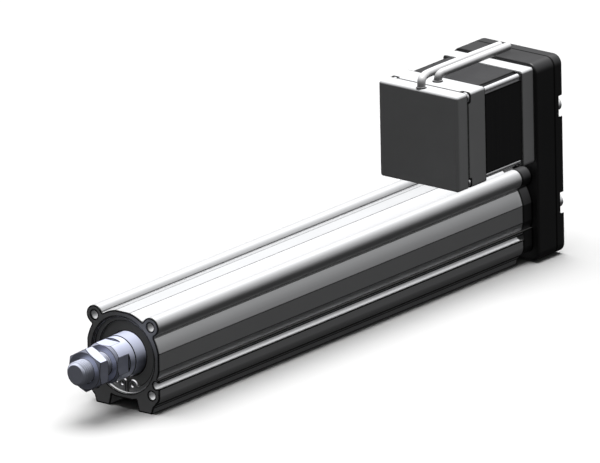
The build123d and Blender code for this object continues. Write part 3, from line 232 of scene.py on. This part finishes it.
class Finish:
    """One procedural material, built up from signals and ended by a Principled shader."""

    def __init__(self, name):
        self.material = bpy.data.materials.new(name)
        self.material.use_nodes = True
        self.tree = self.material.node_tree
        self.tree.nodes.clear()
        self.place = self.node("ShaderNodeTexCoord").outputs["Object"]
        split = self.node("ShaderNodeSeparateXYZ", {}, {"Vector": self.place})
        self.x, self.y, self.z = (Signal(self, split.outputs[i]) for i in range(3))

    def feed(self, socket, value):
        """Gives a socket its value: a link from a signal or a socket, or a plain constant."""
        if isinstance(value, Signal):
            self.tree.links.new(value.socket, socket)
        elif isinstance(value, bpy.types.NodeSocket):
            self.tree.links.new(value, socket)
        else:
            socket.default_value = value

    def node(self, kind, settings=None, inputs=None):
        """Any node, from its type, its settings and its inputs."""
        made = self.tree.nodes.new(kind)
        for key, value in (settings or {}).items():
            setattr(made, key, value)
        for key, value in (inputs or {}).items():
            self.feed(made.inputs[key], value)
        return made

    def stretched(self, scale):
        """The place in the object, each axis scaled on its own, so that grain can run one way."""
        scaled = self.node("ShaderNodeVectorMath", {"operation": "MULTIPLY"}, {0: self.place, 1: scale})
        return scaled.outputs[0]

    def noise(self, scale, detail=3.0, vector=None, roughness=0.55):
        """Soft random variation between 0 and 1; scale is how many lumps there are per metre."""
        node = self.node(
            "ShaderNodeTexNoise",
            {"noise_dimensions": "3D"},
            {"Vector": vector or self.place, "Scale": scale, "Detail": detail, "Roughness": roughness},
        )
        return Signal(self, node.outputs[0])

    def feed_colour(self, socket, colour):
        """Gives a colour socket a link, or three numbers with an opaque fourth."""
        self.feed(socket, (*colour, 1.0) if isinstance(colour, tuple) else colour)

    def blend(self, share, first, second):
        """A colour between two, by a signal from 0 to 1."""
        node = self.node("ShaderNodeMix", {"data_type": "RGBA"})
        # The Mix node has sockets for numbers, vectors and colours; these are the colour ones.
        colour_a, colour_b, colour_out = 6, 7, 2
        self.feed(node.inputs[0], share)
        self.feed_colour(node.inputs[colour_a], first)
        self.feed_colour(node.inputs[colour_b], second)
        return node.outputs[colour_out]

    def edges(self, reach=1.4 * mm, gain=80.0):
        """A signal that is 1 along edges and 0 elsewhere; more gain counts fainter edges too."""
        around = self.node("ShaderNodeBevel", {"samples": bevel_samples}, {"Radius": reach})
        here = self.node("ShaderNodeNewGeometry")
        likeness = self.node(
            "ShaderNodeVectorMath",
            {"operation": "DOT_PRODUCT"},
            {0: around.outputs[0], 1: here.outputs["Normal"]},
        )
        turned_away = 1.0 - Signal(self, likeness.outputs["Value"])
        return (turned_away * gain - noise_floor).clamped()

    def radius_about(self, height):
        """The distance from a shaft that lies along X at the given height."""
        drop = self.z - height
        return (self.y * self.y + drop * drop) ** 0.5

    def surface(self, colour, roughness, metallic=0.0, relief=None, depth=0.1 * mm, **constants):
        """Ends the graph. relief is a height signal and depth how far, in metres, it stands."""
        shader = self.node("ShaderNodeBsdfPrincipled")
        self.feed_colour(shader.inputs["Base Color"], colour)
        self.feed(shader.inputs["Roughness"], roughness)
        self.feed(shader.inputs["Metallic"], metallic)
        for key, value in constants.items():
            shader.inputs[key.replace("_", " ")].default_value = value
        if relief is not None:
            bump = self.node("ShaderNodeBump", {}, {"Height": relief, "Distance": depth, "Strength": 1.0})
            self.feed(shader.inputs["Normal"], bump.outputs[0])
        out = self.node("ShaderNodeOutputMaterial")
        self.tree.links.new(shader.outputs[0], out.inputs[0])
        return self.material


def dress(material, *names):
    """Puts a material on solids of the frame, in place of the plain one they came with."""
    for name in names:
        solid = nodes[name]
        for place in range(max(1, len(solid.material_slots))):
            if place < len(solid.material_slots):
                solid.material_slots[place].material = material
            else:
                solid.data.materials.append(material)
    print(material.name, "on", ", ".join(names))


# %% [markdown]
# ## Drawn aluminium
#
# The body is pushed through a die, which leaves hair-thin lines along its length, and is then anodised
# to a silky grey. The grain is noise squeezed across the body and stretched along it. It moves the
# roughness and a very shallow relief, so that it shows in the sheen and not as painted stripes. The flats
# of the profile meet at small angles, so its edge lines need more gain than those of the other pieces.

# %% Anodised body
finish = Finish("clear_anodised_aluminium")
along_grain = 6.0
across_grain = 1900.0
grain_place = finish.stretched((along_grain, across_grain, across_grain))
draw_lines = finish.noise(scale=1.0, detail=4.0, vector=grain_place)
clouds = finish.noise(scale=28.0, detail=2.0)
body_colour = finish.blend(clouds, (0.52, 0.525, 0.535), (0.57, 0.575, 0.585))
anodised = finish.surface(
    finish.blend(finish.edges(gain=400.0), body_colour, line_grey),
    0.40 + 0.16 * draw_lines,
    metallic=0.3,
    relief=draw_lines,
    depth=0.02 * mm,
    Specular_IOR_Level=0.3,
)
dress(anodised, "body_tube")

# %% [markdown]
# ## Machined castings
#
# The motor's flanges and end cover are die cast and then faced. A face that was milled has a finer,
# more even grain than drawn metal, the same both ways, with a faint cloudiness from the casting skin. Such
# a skin scatters light much as paint does, so it is set up as a matt grey and not as a metal mirror. The
# rod cover, the bearing housing, the piston and the pulleys are machined from the same stuff.

# %% Machined aluminium
finish = Finish("machined_cast_aluminium")
pebble = finish.noise(scale=2600.0, detail=2.0)
skin = finish.noise(scale=60.0, detail=3.0)
cast_colour = finish.blend(skin, (0.54, 0.545, 0.555), (0.60, 0.605, 0.615))
cast = finish.surface(
    finish.blend(finish.edges(), cast_colour, line_grey),
    0.5 + 0.12 * pebble,
    relief=pebble,
    depth=0.02 * mm,
    Specular_IOR_Level=0.15,
)
dress(
    cast,
    "motor_front_flange",
    "motor_rear_flange",
    "motor_end_cover",
    "bearing_housing",
    "rod_cover",
    "piston",
    "screw_pulley",
    "motor_pulley",
)

# %% [markdown]
# ## Black coating
#
# The return box and its plate are coated black. Sprayed or dipped coatings are never quite flat: a fine
# orange-peel relief breaks up the reflections, and handling polishes it unevenly.

# %% Black coated metal
finish = Finish("black_coating")
peel = finish.noise(scale=900.0, detail=2.0)
handling = finish.noise(scale=45.0, detail=3.0)
coat_colour = finish.blend(handling, (0.037, 0.037, 0.038), (0.047, 0.047, 0.049))
black = finish.surface(
    finish.blend(finish.edges(), coat_colour, line_black),
    0.34 + 0.14 * handling,
    relief=peel,
    depth=0.04 * mm,
    Specular_IOR_Level=0.3,
)
dress(black, "return_box", "return_plate")

# %% [markdown]
# ## Stacked laminations
#
# A stepping motor's stator is a stack of half-millimetre steel sheets, blackened at the edges. The seams
# run round the motor, so they depend only on the place along X. A sine of that place, raised to a power,
# gives flat sheets with narrow seams between them.

# %% Laminated steel
finish = Finish("blackened_laminations")
sheet_pitch = 0.5 * mm
wave = (finish.x * (pi / sheet_pitch)).math("SINE")
sheet_height = (wave * wave) ** 0.25
across_sheets = 2000.0
along_sheets = 8.0
sheet_place = finish.stretched((across_sheets, along_sheets, along_sheets))
sheet_tone = finish.noise(scale=1.0, detail=1.0, vector=sheet_place)
lamination_colour = finish.blend(sheet_tone, (0.046, 0.046, 0.048), (0.070, 0.070, 0.073))
laminated = finish.surface(
    finish.blend(finish.edges(), lamination_colour, line_black),
    0.36 + 0.1 * sheet_tone,
    metallic=0.35,
    relief=sheet_height,
    depth=0.03 * mm,
    Specular_IOR_Level=0.2,
)
dress(laminated, "motor_stator", "rotor_cups")

# %% [markdown]
# ## Turned and plated steel
#
# A lathe leaves fine grooves that run round the work: along X on a cylinder, and along the radius on a
# face. One noise that takes the place along X and the distance from the shaft as its coordinates covers
# both. The steel pieces share that recipe with their own colours: plated ones are brighter and softer, and
# ground ones are nearly mirrors. The motor's pieces turn about the motor's own shaft, so their distance is
# counted from there. The thread's flanks are all edges, so the stud goes without edge lines.


# %% Turned steel
rings_scale = 5200.0


def turned(name, dark, light, smooth, spread, metallic, groove, edged=True, height=0.0):
    """Steel turned about a shaft at the given height, with lathe rings in its sheen and relief."""
    finish = Finish(name)
    along = finish.x * rings_scale
    outward = finish.radius_about(height) * rings_scale
    rings = finish.node("ShaderNodeCombineXYZ", {}, {0: along, 1: outward})
    lathe = finish.noise(scale=1.0, detail=2.0, vector=rings.outputs[0])
    patches = finish.noise(scale=120.0, detail=2.0)
    colour = finish.blend(patches, dark, light)
    if edged:
        colour = finish.blend(finish.edges(reach=0.8 * mm, gain=60.0), colour, line_grey)
    roughness = smooth + spread * lathe
    return finish.surface(colour, roughness, metallic=metallic, relief=lathe, depth=groove)


# %% Rod, socket and nut
satin_steel = {
    "dark": (0.60, 0.635, 0.80),
    "light": (0.68, 0.715, 0.88),
    "metallic": 0.3,
}
machined = turned("machined_steel", smooth=0.30, spread=0.18, groove=0.01 * mm, **satin_steel)
plated = turned(
    "plated_steel",
    dark=(0.63, 0.665, 0.83),
    light=(0.71, 0.745, 0.91),
    smooth=0.30,
    spread=0.12,
    metallic=0.3,
    groove=0.006 * mm,
)
rod_chrome = turned("hard_chrome", smooth=0.20, spread=0.10, groove=0.003 * mm, **satin_steel)
dress(machined, "rod_socket", "bearing_retainer", "screw_lock_nut")
dress(plated, "rod_end_nut")
dress(rod_chrome, "piston_rod")

# %% Bolts, thread and ring
zinc = turned(
    "zinc_plated_steel",
    dark=(0.66, 0.665, 0.68),
    light=(0.74, 0.745, 0.76),
    smooth=0.32,
    spread=0.12,
    metallic=0.2,
    groove=0.006 * mm,
)
thread_steel = turned(
    "thread_steel",
    dark=(0.76, 0.80, 0.96),
    light=(0.80, 0.84, 1.0),
    smooth=0.36,
    spread=0.12,
    metallic=0.0,
    groove=0.004 * mm,
    edged=False,
)
spring = turned(
    "spring_steel",
    dark=(0.60, 0.605, 0.62),
    light=(0.68, 0.685, 0.70),
    smooth=0.34,
    spread=0.14,
    metallic=0.1,
    groove=0.01 * mm,
)
dress(zinc, "motor_tie_bolts", "plate_bolts")
dress(spring, "retaining_ring")

# %% Ground steel
ground_look = {
    "dark": (0.58, 0.59, 0.62),
    "light": (0.66, 0.67, 0.70),
    "smooth": 0.16,
    "spread": 0.12,
    "metallic": 1.0,
    "groove": 0.004 * mm,
}
motor_shaft_low, motor_shaft_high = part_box("motor_shaft")
motor_axis_z = (motor_shaft_low[2] + motor_shaft_high[2]) / 2
ground = turned("ground_bearing_steel", **ground_look)
motor_ground = turned("ground_motor_steel", height=motor_axis_z, **ground_look)
dress(
    ground,
    "ball_nut",
    "ball_screw",
    "screw_bearing_inner_races",
    "screw_bearing_outer_races",
    "screw_bearing_balls",
)
dress(
    motor_ground,
    "motor_shaft",
    "motor_bearing_inner_races",
    "motor_bearing_outer_races",
    "motor_bearing_balls",
)

# %% [markdown]
# ## Small parts inside
#
# Most of these only show when the machine is opened, but each still gets the finish of its own stuff:
# oiled black screws, moulded rubber, belt cloth, ivory resin, porous bronze, lacquered copper wire, dark
# magnets, a green circuit board and grey plastic. Cloth, wire and glass fibre repeat evenly, so they are
# sines of the place; the others are noise.

# %% Black screws
finish = Finish("black_oxide_screws")
oil = finish.noise(scale=700.0, detail=3.0)
oxide_colour = finish.blend(oil, (0.030, 0.030, 0.033), (0.06, 0.06, 0.066))
oxide = finish.surface(oxide_colour, 0.30 + 0.2 * oil, metallic=0.7, relief=oil, depth=0.01 * mm)
dress(
    oxide,
    "box_bolts",
    "motor_screws",
    "nut_screws",
    "screw_pulley_set_screw",
    "motor_pulley_set_screw",
)

# %% Moulded rubber and the belt
finish = Finish("black_rubber")
bloom = finish.noise(scale=300.0, detail=3.0)
rubber_colour = finish.blend(bloom, (0.014, 0.014, 0.014), (0.03, 0.03, 0.03))
rubber = finish.surface(rubber_colour, 0.62 + 0.2 * bloom, relief=bloom, depth=0.03 * mm)
dress(rubber, "rod_seal", "cover_o_ring", "front_bumper", "rear_bumper")

finish = Finish("belt_rubber")
cloth_waves = 9000.0
cloth_run = (finish.x * cloth_waves).math("SINE")
cloth_cross = ((finish.y + finish.z) * cloth_waves).math("SINE")
weave = 0.5 + 0.25 * cloth_run + 0.25 * cloth_cross
belt_colour = finish.blend(weave.clamped(), (0.018, 0.018, 0.018), (0.04, 0.04, 0.042))
belt_rubber = finish.surface(belt_colour, 0.7 + 0.1 * weave, relief=weave, depth=0.03 * mm)
dress(belt_rubber, "timing_belt")

# %% Resin, bronze, copper, magnet and board
finish = Finish("ivory_resin")
flow = finish.noise(scale=150.0, detail=2.0)
resin_colour = finish.blend(flow, (0.74, 0.69, 0.57), (0.82, 0.78, 0.68))
resin = finish.surface(resin_colour, 0.42 + 0.12 * flow, relief=flow, depth=0.01 * mm)
dress(resin, "wear_ring", "rotation_stopper", "screw_tip_ring")

finish = Finish("bearing_bronze")
pores = finish.noise(scale=3000.0, detail=3.0)
bronze_colour = finish.blend(pores, (0.42, 0.27, 0.12), (0.60, 0.42, 0.22))
bronze = finish.surface(
    bronze_colour, 0.35 + 0.2 * pores, metallic=0.9, relief=pores, depth=0.01 * mm
)
dress(bronze, "rod_bush")

finish = Finish("copper_wire")
wire_waves = 14000.0
wire_x = (finish.x * wire_waves).math("SINE")
wire_y = (finish.y * wire_waves).math("SINE")
turns = wire_x * 0.25 + wire_y * 0.25 + 0.5
copper_colour = finish.blend(turns.clamped(), (0.42, 0.16, 0.06), (0.80, 0.38, 0.18))
copper = finish.surface(
    copper_colour, 0.30 + 0.15 * turns, metallic=0.8, relief=turns, depth=0.1 * mm
)
dress(copper, "motor_windings")

finish = Finish("dark_magnet")
grit = finish.noise(scale=2000.0, detail=3.0)
magnet_colour = finish.blend(grit, (0.07, 0.07, 0.08), (0.13, 0.13, 0.14))
magnet = finish.surface(
    magnet_colour, 0.5 + 0.2 * grit, metallic=0.4, relief=grit, depth=0.02 * mm
)
dress(magnet, "switch_magnet", "rotor_magnet")

finish = Finish("green_board")
glass_waves = 6000.0
glass_weave = (finish.y * glass_waves).math("SINE") * (finish.z * glass_waves).math("SINE")
board_colour = finish.blend((0.5 + 0.5 * glass_weave).clamped(), (0.02, 0.16, 0.07), (0.04, 0.24, 0.11))
board = finish.surface(board_colour, 0.28 + 0.08 * glass_weave, relief=glass_weave, depth=0.01 * mm)
dress(board, "encoder_board")

finish = Finish("grey_plastic")
mould_grain = finish.noise(scale=2200.0, detail=2.0)
plastic_colour = finish.blend(mould_grain, (0.50, 0.50, 0.51), (0.62, 0.62, 0.63))
plastic = finish.surface(
    plastic_colour, 0.45 + 0.1 * mould_grain, relief=mould_grain, depth=0.01 * mm
)
dress(plastic, "encoder_disc", "cable_collars")

# %% Cable jacket
finish = Finish("pale_cable_jacket")
along_jacket = 60.0
across_jacket = 1500.0
jacket_place = finish.stretched((along_jacket, across_jacket, across_jacket))
jacket_grain = finish.noise(scale=1.0, detail=3.0, vector=jacket_place)
jacket_colour = finish.blend(jacket_grain, (0.62, 0.62, 0.63), (0.70, 0.70, 0.71))
jacket = finish.surface(
    jacket_colour, 0.40 + 0.12 * jacket_grain, relief=jacket_grain, depth=0.02 * mm
)
for cable in cables.values():
    cable.data.materials.append(jacket)
print(jacket.name, "on", ", ".join(cables))

# %% [markdown]
# ## Screw threads
#
# A thread is one ridge that winds round a core. On a grid of points round and along the stud, the height
# of the ridge depends on how far the point is along, less the share of the turn it is round: that one
# number, modulo a pitch, is the place across the ridge. A 60 degree ridge is a triangle with its crest
# and root cut flat, each flat a share of the pitch. Both ends taper off into a cone, as a die leaves them.
# In the picture the stud is drawn smooth; its real thread is M14 with a pitch of 1.5 mm.


# %% Thread maker
crest_flat = 0.15
root_flat = 0.05


def thread_grid(name, centre, x_from, x_to, crest, root, pitch, end_cone, around=72, per_pitch=8):
    """A threaded cylinder along X as a mesh: crest and root radii, and how much its ends are coned."""
    rows = int(round(abs(x_to - x_from) / pitch * per_pitch))
    shape = bmesh.new()
    grid = []
    for row in range(rows + 1):
        x = x_from + (x_to - x_from) * row / rows
        inset = min(abs(x - x_from), abs(x - x_to))
        cone = crest - max(0.0, end_cone - inset)
        ring = []
        for step in range(around):
            angle = 2 * pi * step / around
            across = ((x - centre[0]) / pitch - step / around) % 1.0
            climb = 1.0 - abs(2 * across - 1.0)
            ridge = min(1.0, max(0.0, (climb - root_flat) / (1.0 - crest_flat - root_flat)))
            r = min(root + (crest - root) * ridge, cone)
            ring.append(shape.verts.new((x, centre[1] + r * cos(angle), centre[2] + r * sin(angle))))
        grid.append(ring)
    for low, high in zip(grid, grid[1:]):
        for step in range(around):
            after = (step + 1) % around
            shape.faces.new((low[step], low[after], high[after], high[step]))
    shape.faces.new(list(reversed(grid[0])))
    shape.faces.new(grid[-1])
    bmesh.ops.recalc_face_normals(shape, faces=shape.faces)
    mesh = bpy.data.meshes.new(name)
    shape.to_mesh(mesh)
    shape.free()
    made = bpy.data.objects.new(name, mesh)
    bpy.context.scene.collection.objects.link(made)
    print(name, "faces", len(mesh.polygons))
    return made


# %% Rod end stud
stud_low, stud_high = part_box("rod_end_stud")
stud = thread_grid(
    "threaded_stud",
    centre=(0.0, 0.0, 0.0),
    x_from=stud_low[0],
    x_to=stud_high[0],
    crest=7.0 * mm,
    root=6.1 * mm,
    pitch=1.5 * mm,
    end_cone=1.5 * mm,
)
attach(stud, "rod")
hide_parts("rod_end_stud")
stud.data.materials.append(thread_steel)

# %% [markdown]
# ## Floor and light
#
# The object stands on a plain white floor that fills the picture. The picture is a product drawing: its
# tops are white, its sides are even and dark, nothing throws a shadow on anything else, and only the floor
# has a soft shadow, nearly straight below. So the floor and the object get lights of their own. Light
# linking does that: a light's receiver collection says what it lights, and its blocker collection what
# throws shadows in it. Light that bounces between surfaces is left out too, since the white top of the
# body would light up the motor's front, and the floor is kept out of what the object reflects. The body
# shades its own grooves, which the shadowless lights can't do, so it has a light to itself. The rod cover
# is sunk in the body's mouth, and both shadowless lights pass it by, or its bore would shine.

# %% Floor
floor_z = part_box("body_tube")[0][2]
floor_half = 6.0
floor_shape = bmesh.new()
floor_corners = [(-1, -1), (1, -1), (1, 1), (-1, 1)]
floor_shape.faces.new(
    [floor_shape.verts.new((a * floor_half, b * floor_half, floor_z)) for a, b in floor_corners]
)
floor_mesh = bpy.data.meshes.new("floor")
floor_shape.to_mesh(floor_mesh)
floor_shape.free()
floor = bpy.data.objects.new("floor", floor_mesh)
bpy.context.scene.collection.objects.link(floor)
finish = Finish("pale_floor")
floor_tone = finish.noise(scale=3.0, detail=2.0)
floor_colour = finish.blend(floor_tone, (0.56, 0.56, 0.56), (0.57, 0.57, 0.57))
floor_material = finish.surface(floor_colour, roughness=0.9, Specular_IOR_Level=0.0)
floor.data.materials.append(floor_material)
floor.visible_diffuse = False
floor.visible_glossy = False
print("floor at", round(floor_z / mm, 2), "mm")

# %% Light helpers
scene = bpy.context.scene
scene.view_settings.view_transform = "Standard"
scene.view_settings.look = "None"
scene.view_settings.exposure = 0.0
scene.cycles.diffuse_bounces = 0


def sun(name, towards, strength, spread, shadows=True):
    """A distant light that shines from the given direction, its shadow edges softened by its spread."""
    data = bpy.data.lights.new(name, "SUN")
    data.energy = strength
    data.angle = radians(spread)
    data.use_shadow = shadows
    lamp = bpy.data.objects.new(name, data)
    scene.collection.objects.link(lamp)
    lamp.rotation_mode = "QUATERNION"
    lamp.rotation_quaternion = Vector(towards).to_track_quat("Z", "Y")
    return lamp


def group(name, members, state="INCLUDE"):
    """A collection for light linking that takes in its members, or takes in everything else."""
    made = bpy.data.collections.new(name)
    for member in members:
        made.objects.link(member)
    for entry in made.collection_objects:
        entry.light_linking.link_state = state
    return made


# %% Lights on the object
body = nodes["body_tube"]
sunk = nodes["rod_cover"]
from_above = (-0.24, -0.03, 0.97)
above_strength = 3.85
above_spread = 20.0
from_behind = (-0.30, -0.22, 0.92)
behind_strength = 2.42
behind_spread = 24.0

top_light = sun("top_light", from_above, above_strength, above_spread, shadows=False)
top_light.light_linking.receiver_collection = group("all_but_floor", [floor, sunk], "EXCLUDE")

body_light = sun("body_light", from_behind, behind_strength, behind_spread)
body_light.light_linking.receiver_collection = group("body", [body])
body_light.light_linking.blocker_collection = group("body_ribs", [body])

rest_light = sun("rest_light", from_behind, behind_strength, behind_spread, shadows=False)
rest_light.light_linking.receiver_collection = group("all_but_body", [body, floor, sunk], "EXCLUDE")

# %% Light on the floor
from_overhead = (-0.08, -0.09, 1.0)
overhead_strength = 5.7
overhead_spread = 60.0
shadow_makers = [
    body,
    nodes["return_box"],
    nodes["return_plate"],
    nodes["piston_rod"],
    nodes["rod_socket"],
    nodes["rod_end_nut"],
    stud,
]

floor_light = sun("floor_light", from_overhead, overhead_strength, overhead_spread)
floor_light.light_linking.receiver_collection = group("floor_only", [floor])
floor_light.light_linking.blocker_collection = group("standing_low", shadow_makers)

# %% [markdown]
# A weak light from all round keeps the shaded sides readable. It fades below the horizon, so that
# undersides and grooves go dark. For the world, the generated coordinate is the direction looked in, and
# its Z says how far up that is. Where the camera looks past the end of the floor, as it does from a low
# angle, it sees plain white instead: the Light Path node tells such a ray from one that gathers light.

# %% Light from all round
fade_settings = {"From Min": -0.35, "From Max": 0.15, "To Min": 0.02, "To Max": 0.125}
plain_white = 1.0

world = bpy.data.worlds.new("studio")
scene.world = world
world.use_nodes = True
world_nodes = world.node_tree.nodes
join = world.node_tree.links.new
ambient = world_nodes["Background"]
ambient.inputs["Color"].default_value = (1.0, 1.0, 1.0, 1.0)
direction = world_nodes.new("ShaderNodeTexCoord")
split_direction = world_nodes.new("ShaderNodeSeparateXYZ")
fade = world_nodes.new("ShaderNodeMapRange")
for key, value in fade_settings.items():
    fade.inputs[key].default_value = value
ray = world_nodes.new("ShaderNodeLightPath")
seen_strength = world_nodes.new("ShaderNodeMix")
seen_strength.inputs["B"].default_value = plain_white
join(direction.outputs["Generated"], split_direction.inputs[0])
join(split_direction.outputs["Z"], fade.inputs["Value"])
join(ray.outputs["Is Camera Ray"], seen_strength.inputs["Factor"])
join(fade.outputs[0], seen_strength.inputs["A"])
join(seen_strength.outputs["Result"], ambient.inputs["Strength"])
print("light from all round:", fade_settings["To Min"], "below to", fade_settings["To Max"], "above")
